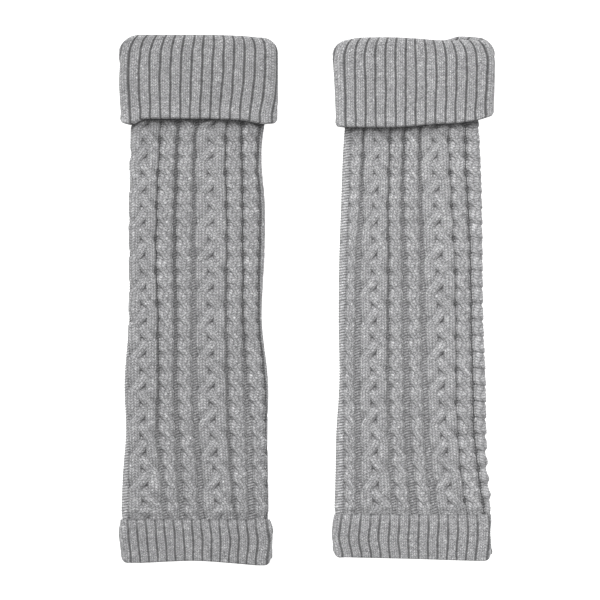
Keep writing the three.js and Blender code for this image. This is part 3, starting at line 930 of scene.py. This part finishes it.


# %% [markdown]
# ## The ribbed cuffs and hems
# Two-by-two rib pulls its knit wales together, so only pairs of them show, parted by a thin
# groove darkened with painted shade. The cuff is one tube doubled back on itself: the sheet runs up
# the inside, over the fold, down the outside to the free lip, and up and down the narrow gap
# between its layers.
#
# The hem is a short tube. Its ribs begin low just under the body and soon reach their full
# depth. The painted shade in their grooves starts pale there and grows to full, one rib a little
# sooner than the next, because the real knitting goes on without a seam.

# %% Ribs right round a tube
RIB_WALES, WALE_COLUMNS = 2, 4
RIB_EDGE = 0.09
RIB_ROUNDNESS = 0.45
RIB_WANDER = 0.4
RIB_RELIEF_MIDDLE = 0.5
GROOVE_CROWN = 0.1
RIB_POINTS = RIB_WALES * WALE_COLUMNS + 1
RIB_SHARES = np.concatenate([[0.0], np.linspace(RIB_EDGE, 1 - RIB_EDGE, RIB_POINTS)])
RIB_WALE_PLACES = np.concatenate([[0.0], np.linspace(0, RIB_WALES, RIB_POINTS)])
RIB_CROWN = np.sin(np.pi * RIB_SHARES) ** RIB_ROUNDNESS


def rib_lines(ribs, section, up, shown, total):
    """Where each groove lies round the tube: the shown ones as measured, the rest evenly."""
    lines = []
    for number in range(shown):
        line = ribs["first"] + ribs["pitch"] * number + wander(up, number, RIB_WANDER)
        lines.append(around_at(section, line))
    rest = lines[0] + girth(section) - lines[-1]
    more = total - shown + 1
    lines += [lines[-1] + rest * (number + 1) / more for number in range(more)]
    return np.concatenate(lines, axis=1)


def over_ribs(lines):
    """Places round the tube, the crown's height and the wale, for every column of the sheet."""
    spans = lines[:, 1:] - lines[:, :-1]
    around = lines[:, :-1, None] + spans[:, :, None] * RIB_SHARES
    around = np.concatenate([around.reshape(len(lines), -1), lines[:, -1:]], axis=1)
    count = spans.shape[1]
    crown = np.append(np.tile(RIB_CROWN, count), RIB_CROWN[0])
    wale = (np.arange(count)[:, None] * RIB_WALES + RIB_WALE_PLACES).ravel()
    return around, crown[None, :], np.append(wale, count * RIB_WALES)[None, :]


def rib_relief(crown, wale, course):
    """The stitches on the ribs; the grooves between them stay plain."""
    return KNIT_RELIEF * (knit_relief(wale, course) - RIB_RELIEF_MIDDLE) * (crown > GROOVE_CROWN)


print("points round one rib:", RIB_POINTS)

# %% Rows of a ribbed tube
BACK_FROM = (0.45, 0.1)


def flat_places(outer, ribs):
    """Where each column lies across the tube, and whether it is on the back, from 0 to 1."""
    x, _, turned = on_tube(outer, ribs[0], 0.0)
    return x, ramp(turned, *BACK_FROM)


def ribbed_rows(outer, inner, ribs, course, rise, inward):
    """The x and z of ribbed rows on the outer face, drawn in to the inner face at an edge."""
    around, crown, wale = ribs
    x, z, _ = on_tube(outer, around, rise * crown + rib_relief(crown, wale, course) * (1 - inward))
    inner_x, inner_z = same_share(outer, around, inner)
    return mix(x, inner_x, inward), mix(z, inner_z, inward)


def plain_rows(outer, inner, around, up):
    """Rows without ribs on a hidden face."""
    x, z = same_share(outer, around, inner)
    return x, up + 0 * x, z


# %% Edges and corners of cuffs and hems
CUFF_CORNER, LIP_CORNER, HEM_CORNER = 8.0, 1.6, 5.0
LIP_ROUNDING, HEM_ROUNDING = 1.3, 1.2
EDGE_ROWS = 7
LAST_ROWS = (0.9, 0.1)


def corner_drop(section, x, radius):
    """How far a rounded corner lies from the straight edge."""
    inset = np.maximum(0, np.minimum(x - section["left"], section["right"] - x))
    share = 1 - np.minimum(1, inset / radius)
    return radius * (1 - np.sqrt(1 - share * share))


def inward_share(angle):
    """From 0 on the outer face to 1 on the inner one, as an edge turns in."""
    return (1 - np.cos(angle)) / 2


def edge_round(angle, share, rounding):
    """How far the last rows lift as they turn in round a free edge."""
    return rounding * (1 - np.sin(angle)) * ramp(share, *LAST_ROWS)


def edge_turn(last_course):
    """Angles for the rows that turn in round a free edge, and their courses."""
    courses = last_course + np.arange(1, EDGE_ROWS)[:, None] / ROWS_PER_COURSE
    return column_of(0, math.pi, EDGE_ROWS)[1:], courses


# %% Sections of the cuff
CUFF_BACK_RELIEF = 0.5
WIDENING = 30
LINING_GAP, OUTER_GAP = 0.2, 0.1
SLIT_INSET = 2.5


def cuff_sections(leg, up):
    """The faces of the cuff's two layers; the inner one starts as wide as the body."""
    ribs = ribs_at(leg["cuff"], up)
    left, right = ribs["left"], ribs["right"]
    low, layer_top = CUFF_WALL + SEAM_GAP, CUFF_WALL + SEAM_GAP + 2 * RIB_WALL + SLIT
    flare = LIP_FLARE * (1 - ramp(up, LIP_LINE, FLARE_LENGTH))
    outer_low = layer_top + SEAM_GAP + OUTER_GAP + flare
    body = body_section(leg, at_height(BODY_TOP))
    widened = ramp(up, BODY_TOP, WIDENING)
    inset = CUFF_WALL + SEAM_GAP + LINING_GAP
    inner_left = mix(body["left"], left + inset, widened)
    inner_right = mix(body["right"], right - inset, widened)
    slit_left, slit_right = inner_left + SLIT_INSET, inner_right - SLIT_INSET
    return {
        "outer": tube(left, right, CUFF_BACK_RELIEF, outer_low + CUFF_FRONT_WALL, CUFF_REACH),
        "outer_inside": tube(left + CUFF_WALL, right - CUFF_WALL, CUFF_WALL, outer_low, LAYER_REACH),
        "lining": tube(inner_left, inner_right, low, layer_top, LAYER_REACH - SEAM_GAP),
        "slit": tube(slit_left, slit_right, low + RIB_WALL, layer_top - RIB_WALL, SLIT_REACH),
    }


# %% Rows of the cuff
FOLD_DEPTH = 5.0
FOLD_BASE = FOLD_TOP - FOLD_DEPTH
SINK_SPEED, SINK_DELAY = 1.3, 0.2
CUFF_RIBS = 30
CUFF_MIDDLE = 190.0


def cuff_columns(leg, up):
    """The outer face, and where the ribs lie round it."""
    outer, ribs = cuff_sections(leg, up)["outer"], ribs_at(leg["cuff"], up)
    return outer, *over_ribs(rib_lines(ribs, outer, up, leg["cuff_ribs"], CUFF_RIBS))


def cuff_face(leg, face, up):
    """Plain rows on one of the cuff's hidden faces."""
    outer, around, _, _ = cuff_columns(leg, np.full_like(up, CUFF_MIDDLE))
    return plain_rows(outer, cuff_sections(leg, up)[face], around, up)


def fold_crest(leg, outer, x, back):
    """How far the folded top edge lies above its straight line, on the front and the back."""
    return mix(edge_up(leg, outer, x, "fold"), edge_up(leg, outer, x, "fold_back"), back)


def cuff_fold(leg, angle, course):
    """Rows over the fold: the outer face turned in to the slit as the angle grows."""
    level, inward = FOLD_BASE + 0 * angle, inward_share(angle)
    _, *ribs = cuff_columns(leg, level + FOLD_DEPTH * np.sin(angle))
    sections = cuff_sections(leg, level)
    outer = sections["outer"]
    flat_x, back = flat_places(outer, ribs)
    rise = mix(CUFF_RIB_RISE, CUFF_BACK_RELIEF, back) * (1 - smooth(inward * SINK_SPEED - SINK_DELAY))
    x, z = ribbed_rows(outer, sections["slit"], ribs, course, rise, inward)
    drop = corner_drop(outer, flat_x, CUFF_CORNER) * (1 - inward)
    return x, level + fold_crest(leg, outer, flat_x, back) - drop + FOLD_DEPTH * np.sin(angle), z


def cuff_outside(leg, share, course, angle):
    """Rows down the outer face; the last ones turn in round the free lip."""
    level, inward = mix(FOLD_BASE, LIP_LINE, share), inward_share(angle)
    outer, *ribs = cuff_columns(leg, level)
    flat_x, back = flat_places(outer, ribs)
    rise = mix(CUFF_RIB_RISE, CUFF_BACK_RELIEF, back) * (1 - inward)
    x, z = ribbed_rows(outer, cuff_sections(leg, level)["outer_inside"], ribs, course, rise, inward)
    crest = fold_crest(leg, outer, flat_x, back) - corner_drop(outer, x, CUFF_CORNER)
    lip = edge_up(leg, outer, flat_x, "lip") + corner_drop(outer, x, LIP_CORNER)
    return x, level + mix(crest, lip, share) + edge_round(angle, share, LIP_ROUNDING), z


# %% Knit a cuff
FOLD_ROWS = 24
INSIDE_TOP, HIDDEN_TOP = FOLD_BASE - 6, FOLD_BASE - 7
INSIDE_CUFF_ROWS = 6
HIDDEN_LIP = 151.0
HIDDEN_HEIGHTS = (172.0, 187.0)
RIB_SHADE = 0.8


def knit_cuff(leg):
    up_inside = column_of(BODY_TOP + SEAM_GAP, INSIDE_TOP, INSIDE_CUFF_ROWS)
    fold_angle = column_of(math.pi, 0, FOLD_ROWS)[:-1]
    fold_course = np.arange(len(fold_angle))[:, None] / ROWS_PER_COURSE
    count = round((FOLD_BASE - LIP_LINE) / COURSE * ROWS_PER_COURSE) + 1
    share = column_of(0, 1, count)
    course = fold_course[-1, 0] + (1 + np.arange(count)[:, None]) / ROWS_PER_COURSE
    lip_angle, lip_course = edge_turn(course[-1, 0])
    up_between = np.array([[HIDDEN_LIP, BODY_TOP, *HIDDEN_HEIGHTS, HIDDEN_TOP]]).T
    up_lining = np.array([[HIDDEN_TOP, *HIDDEN_HEIGHTS[::-1], BODY_TOP + SEAM_GAP]]).T
    inside = cuff_face(leg, "slit", up_inside)
    x, y, z = stack_rows(
        inside,
        cuff_fold(leg, fold_angle, fold_course),
        cuff_outside(leg, share, course, 0 * share),
        cuff_outside(leg, 1 + 0 * lip_angle, lip_course, lip_angle),
        cuff_face(leg, "outer_inside", up_between),
        cuff_face(leg, "lining", up_lining),
        [part[:1] for part in inside],
    )
    hidden = len(up_between) + len(up_lining) + 1
    courses = np.concatenate([
        np.arange(-len(up_inside), 0)[:, None], fold_course, course, lip_course,
        lip_course[-1, 0] + 1 + np.arange(hidden)[:, None],
    ])
    _, _, crown, wale = cuff_columns(leg, at_height(CUFF_MIDDLE))
    name = f"{leg['name']}_cuff_knit"
    # The grooves between the ribs get painted shade.
    sheet = knit_sheet(name, leg["middle"] + x, y, z, wale, courses, 0.0, RIB_SHADE * (1 - crown))
    return join_and_close(name, [sheet])


# %% Rows of the hem
HEM_BACK_RELIEF = 0.5
HEM_RIBS = 30
HEM_JOIN = 0.05
JOIN_HEIGHT, JOIN_SHARE = 0.6, 0.2


def hem_sections(leg, up):
    """The ribs, the outer face and the slit inside."""
    ribs = ribs_at(leg["hem"], up)
    left, right = ribs["left"], ribs["right"]
    slit_top = HEM_BACK_WALL + SLIT
    outer = tube(left, right, HEM_BACK_RELIEF, slit_top + HEM_FRONT_WALL, BODY_REACH)
    slit = tube(left + HEM_BACK_WALL, right - HEM_BACK_WALL, HEM_BACK_WALL, slit_top, SLIT_REACH)
    return ribs, outer, slit


def hem_columns(leg, up):
    ribs, outer, slit = hem_sections(leg, up)
    return outer, slit, *over_ribs(rib_lines(ribs, outer, up, leg["hem_ribs"], HEM_RIBS))


def hem_inside(leg, up):
    outer, slit, around, _, _ = hem_columns(leg, up)
    return plain_rows(outer, slit, around, up)


def hem_outside(leg, share, course, angle):
    """Rows down the outer face; the last ones turn in round the free edge."""
    level, inward = mix(leg["body_bottom"] - HEM_JOIN, leg["hem_bottom"], share), inward_share(angle)
    outer, slit, *ribs = hem_columns(leg, level)
    flat_x, back = flat_places(outer, ribs)
    full = mix(JOIN_HEIGHT, 1.0, smooth(share / JOIN_SHARE)) * (1 - inward)
    rise = mix(HEM_RIB_RISE, HEM_BACK_RELIEF, back) * full
    x, z = ribbed_rows(outer, slit, ribs, course, rise, inward)
    bottom = edge_up(leg, outer, flat_x, "hem") + corner_drop(outer, x, HEM_CORNER)
    return x, level + bottom * share + edge_round(angle, share, HEM_ROUNDING), z


# %% Knit a hem
HEM_SLIT_DEPTH, HEM_SLIT_ROWS = 10, 4
HEM_MIDDLE = -190.0
HEM_SHADE, JOIN_SHADE = 0.66, 0.3
SHADE_START, SHADE_SHIFT, SHADE_COURSES = 1, 2.4, 3


def knit_hem(leg):
    top = leg["body_bottom"] - HEM_JOIN
    up_inside = column_of(leg["hem_bottom"] + HEM_SLIT_DEPTH, top, HEM_SLIT_ROWS)
    count = round((top - leg["hem_bottom"]) / COURSE * ROWS_PER_COURSE) + 1
    share = column_of(0, 1, count)
    course = np.arange(count)[:, None] / ROWS_PER_COURSE
    edge_angle, edge_course = edge_turn(course[-1, 0])
    inside = hem_inside(leg, up_inside)
    x, y, z = stack_rows(
        inside,
        hem_outside(leg, share, course, 0 * share),
        hem_outside(leg, 1 + 0 * edge_angle, edge_course, edge_angle),
        [part[:1] for part in inside],
    )
    courses = np.concatenate([
        np.arange(-len(up_inside), 0)[:, None], course, edge_course, edge_course[-1:] + 1,
    ])
    _, _, _, crown, wale = hem_columns(leg, at_height(HEM_MIDDLE))
    # The grooves between the ribs get painted shade, faint just under the body and full a few courses down,
    # from a different course on each rib.
    begin = SHADE_START + np.sin(SHADE_SHIFT * np.floor(wale / RIB_WALES))
    grown = mix(JOIN_SHADE, 1.0, ramp(courses, begin, SHADE_COURSES))
    name = f"{leg['name']}_hem_knit"
    sheet = knit_sheet(name, leg["middle"] + x, y, z, wale, courses, 0.0, HEM_SHADE * (1 - crown) * grown)
    return join_and_close(name, [sheet])


# %% [markdown]
# ## The yarn
# Heather grey yarn is spun from pale and dark fibres together. The finish mixes small streaks of
# both, drawn out along the yarn, paints shade between the stitches and on the points marked for
# it, paints a highlight on the tops of the yarn, gives the fibres a soft sheen, and adds the slant
# of each stitch's legs and the fine fibres of the yarn as bump. The streaks and the stitches are
# read from the map in stitches, so they follow each strand. A picture of wool would be stretched
# there.


# %% Node helpers
class Nodes:
    """A short way to write a node tree as sums."""

    def __init__(self, material):
        material.use_nodes = True
        self.tree = material.node_tree
        self.shader = self.tree.nodes["Principled BSDF"]

    def new(self, kind):
        return self.tree.nodes.new(f"ShaderNode{kind}")

    def put(self, socket, value):
        if isinstance(value, bpy.types.NodeSocket):
            self.tree.links.new(value, socket)
        else:
            socket.default_value = value

    def put_all(self, node, values):
        for name, value in values.items():
            self.put(node.inputs[name], value)

    def value(self, name):
        node = self.new("Attribute")
        node.attribute_name = name
        return node.outputs["Fac"]

    def math(self, operation, *values):
        node = self.new("Math")
        node.operation = operation
        for socket, value in zip(node.inputs, values):
            self.put(socket, value)
        return node.outputs[0]

    def plus(self, first, second):
        return self.math("ADD", first, second)

    def less(self, first, second):
        return self.math("SUBTRACT", first, second)

    def times(self, first, second):
        return self.math("MULTIPLY", first, second)

    def half_wave(self, share, sharpness):
        return self.math("POWER", self.math("SINE", self.times(share, math.pi)), sharpness)

    def noise(self, vector, scale, detail, roughness):
        node = self.new("TexNoise")
        self.put_all(node, {"Vector": vector, "Scale": scale, "Detail": detail, "Roughness": roughness})
        return node.outputs["Fac"]

    def blend(self, share, first, second):
        node = self.new("Mix")
        node.data_type = "RGBA"
        self.put_all(node, {"Factor": share, "A": first, "B": second})
        return node.outputs["Result"]

    def span(self, value, low, high, to_low=0.0, to_high=1.0):
        node = self.new("MapRange")
        ends = {"From Min": low, "From Max": high, "To Min": to_low, "To Max": to_high}
        self.put_all(node, {"Value": value, **ends})
        return node.outputs["Result"]


# %% The height of the yarn in each stitch
YARN_SLANT = 0.8
RUNG_SLANT = 0.5


def yarn_height(nodes, wale, course, purl):
    """From 0 between the stitches to 1 on top of the yarn, for knit and for purl stitches."""
    centred = nodes.less(nodes.math("FRACT", wale), 0.5)
    spread = nodes.times(nodes.math("ABSOLUTE", centred), 2.0)
    step = nodes.math("FRACT", nodes.less(course, nodes.times(spread, YARN_SLANT)))
    bead = nodes.half_wave(step, BEAD_SHARPNESS)
    knit = nodes.times(bead, nodes.half_wave(spread, LEG_SHARPNESS))
    rung_step = nodes.math("FRACT", nodes.plus(course, nodes.times(wale, RUNG_SLANT)))
    rung = nodes.half_wave(rung_step, RUNG_SHARPNESS)
    return nodes.plus(nodes.times(knit, nodes.less(1.0, purl)), nodes.times(rung, purl))


# %% The heather colour
PALE_FIBRE = (0.62, 0.62, 0.63, 1)
MID_FIBRE = (0.35, 0.35, 0.357, 1)
DARK_FIBRE = (0.12, 0.12, 0.125, 1)
DARK_STRENGTH = 0.75
LEGS_PER_WALE, STREAK_APART, STREAK_PITCH = 2.0, 5.17, 0.75
STREAK_NOISE, FLECK_NOISE = (1.0, 2.0, 0.6), (950.0, 2.0, 0.6)
PALE_SPAN, DARK_SPAN = (0.51, 0.66), (0.46, 0.34)


def heather_colour(nodes, place, wale, course):
    """Streaks that run along each leg of the stitches, with fine flecks among them."""
    streak_place = nodes.new("CombineXYZ")
    leg_number = nodes.math("FLOOR", nodes.times(wale, LEGS_PER_WALE))
    nodes.put(streak_place.inputs["X"], nodes.times(leg_number, STREAK_APART))
    nodes.put(streak_place.inputs["Y"], nodes.times(course, STREAK_PITCH))
    streaks = nodes.noise(streak_place.outputs[0], *STREAK_NOISE)
    flecks = nodes.noise(place, *FLECK_NOISE)
    marl = nodes.plus(nodes.times(streaks, 0.5), nodes.times(flecks, 0.5))
    colour = nodes.blend(nodes.span(marl, *PALE_SPAN), MID_FIBRE, PALE_FIBRE)
    dark_share = nodes.times(nodes.span(marl, *DARK_SPAN), DARK_STRENGTH)
    return nodes.blend(dark_share, colour, DARK_FIBRE)


# %% Light and dark on the yarn
NOISE_SPAN = (0.3, 0.7)
PATCH_NOISE, PATCH_SHADES = (60.0, 2.0, 0.5), (0.94, 1.05)
# The valleys between the stitches get painted shade and the crests a painted highlight; the marked points
# get painted shade down to the darkest share.
PURL_SPAN, HEIGHT_SPAN, PAINTED_SHADE_SPAN = (0.0, 1.0), (0.0, 0.9), (0.15, 1.0)
VALLEY_SHADES, CREST_SHADES = (0.48, 0.3), (1.1, 1.25)
PALE_MARLING = 0.9
DARKEST_PAINTED_SHADE = 0.22


def yarn_tone_and_painted_shade(nodes, place, height, fibre, purl, tone_and_painted_light, marling):
    """Painted shade between stitches and on marked points, a painted highlight on the yarn's tops, and the
    yarn's own fibres and patches.
    """
    valley = nodes.span(purl, *PURL_SPAN, *VALLEY_SHADES)
    crest = nodes.span(purl, *PURL_SPAN, *CREST_SHADES)
    by_height = nodes.span(height, *HEIGHT_SPAN, valley, crest)
    by_fibre = nodes.span(fibre, *NOISE_SPAN, 1 - marling, 1 + PALE_MARLING * marling)
    by_patch = nodes.span(nodes.noise(place, *PATCH_NOISE), *NOISE_SPAN, *PATCH_SHADES)
    by_painted_shade = nodes.span(nodes.value("painted_shade"), *PAINTED_SHADE_SPAN, tone_and_painted_light, DARKEST_PAINTED_SHADE * tone_and_painted_light)
    return nodes.times(nodes.times(nodes.times(by_height, by_fibre), by_patch), by_painted_shade)


# %% The yarn's finish
CABLE_TONE, RIB_TONE = 0.94, 0.91
CABLE_MARLING, RIB_MARLING = 0.6, 0.5
FIBRE_NOISE = (1900.0, 3.0, 0.7)
FIBRE_BUMP = 0.35
BUMP = {"Strength": 0.7, "Distance": 0.0005}
WOOL = {"Roughness": 0.92, "Specular IOR Level": 0.2, "Sheen Weight": 0.25, "Sheen Roughness": 0.5}


def yarn_material(name, tone_and_painted_light, marling):
    material = bpy.data.materials.new(name)
    nodes = Nodes(material)
    stitch = nodes.new("UVMap")
    stitch.uv_map = STITCH_MAP
    stitch_axes = nodes.new("SeparateXYZ")
    nodes.put(stitch_axes.inputs[0], stitch.outputs["UV"])
    wale, course = stitch_axes.outputs["X"], stitch_axes.outputs["Y"]
    place = nodes.new("TexCoord").outputs["Object"]
    purl = nodes.value("purl")
    height = yarn_height(nodes, wale, course, purl)
    fibre = nodes.noise(place, *FIBRE_NOISE)

    shaded = nodes.new("VectorMath")
    shaded.operation = "SCALE"
    nodes.put(shaded.inputs[0], heather_colour(nodes, place, wale, course))
    nodes.put(shaded.inputs["Scale"], yarn_tone_and_painted_shade(nodes, place, height, fibre, purl, tone_and_painted_light, marling))
    bump = nodes.new("Bump")
    nodes.put_all(bump, {**BUMP, "Height": nodes.plus(height, nodes.times(fibre, FIBRE_BUMP))})
    finish = {**WOOL, "Base Color": shaded.outputs[0], "Normal": bump.outputs["Normal"]}
    nodes.put_all(nodes.shader, finish)
    return material


# %% [markdown]
# ## Put the pair together
# Each knitted piece takes the place of its measured node, which is hidden, and rides on the one
# body of the model.


def settle(piece, material):
    piece.data.materials.clear()
    piece.data.materials.append(material)
    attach(piece, "root")


for leg in (LEFT_LEG, RIGHT_LEG):
    name = leg["name"]
    # Each leg's two materials carry the leg's painted light: the right leg's yarn is painted paler.
    cable_yarn = yarn_material(f"{name}_cable_yarn", CABLE_TONE * leg["tone_and_painted_light"], CABLE_MARLING)
    rib_yarn = yarn_material(f"{name}_rib_yarn", RIB_TONE * leg["tone_and_painted_light"], RIB_MARLING)
    body, cables, back_cables = knit_body(leg)
    cuff = knit_cuff(leg)
    hem = knit_hem(leg)
    for piece in (body, cables, back_cables):
        settle(piece, cable_yarn)
        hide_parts(f"{name}_body")
    for piece, node in ((cuff, f"{name}_cuff"), (hem, f"{name}_hem")):
        settle(piece, rib_yarn)
        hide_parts(node)
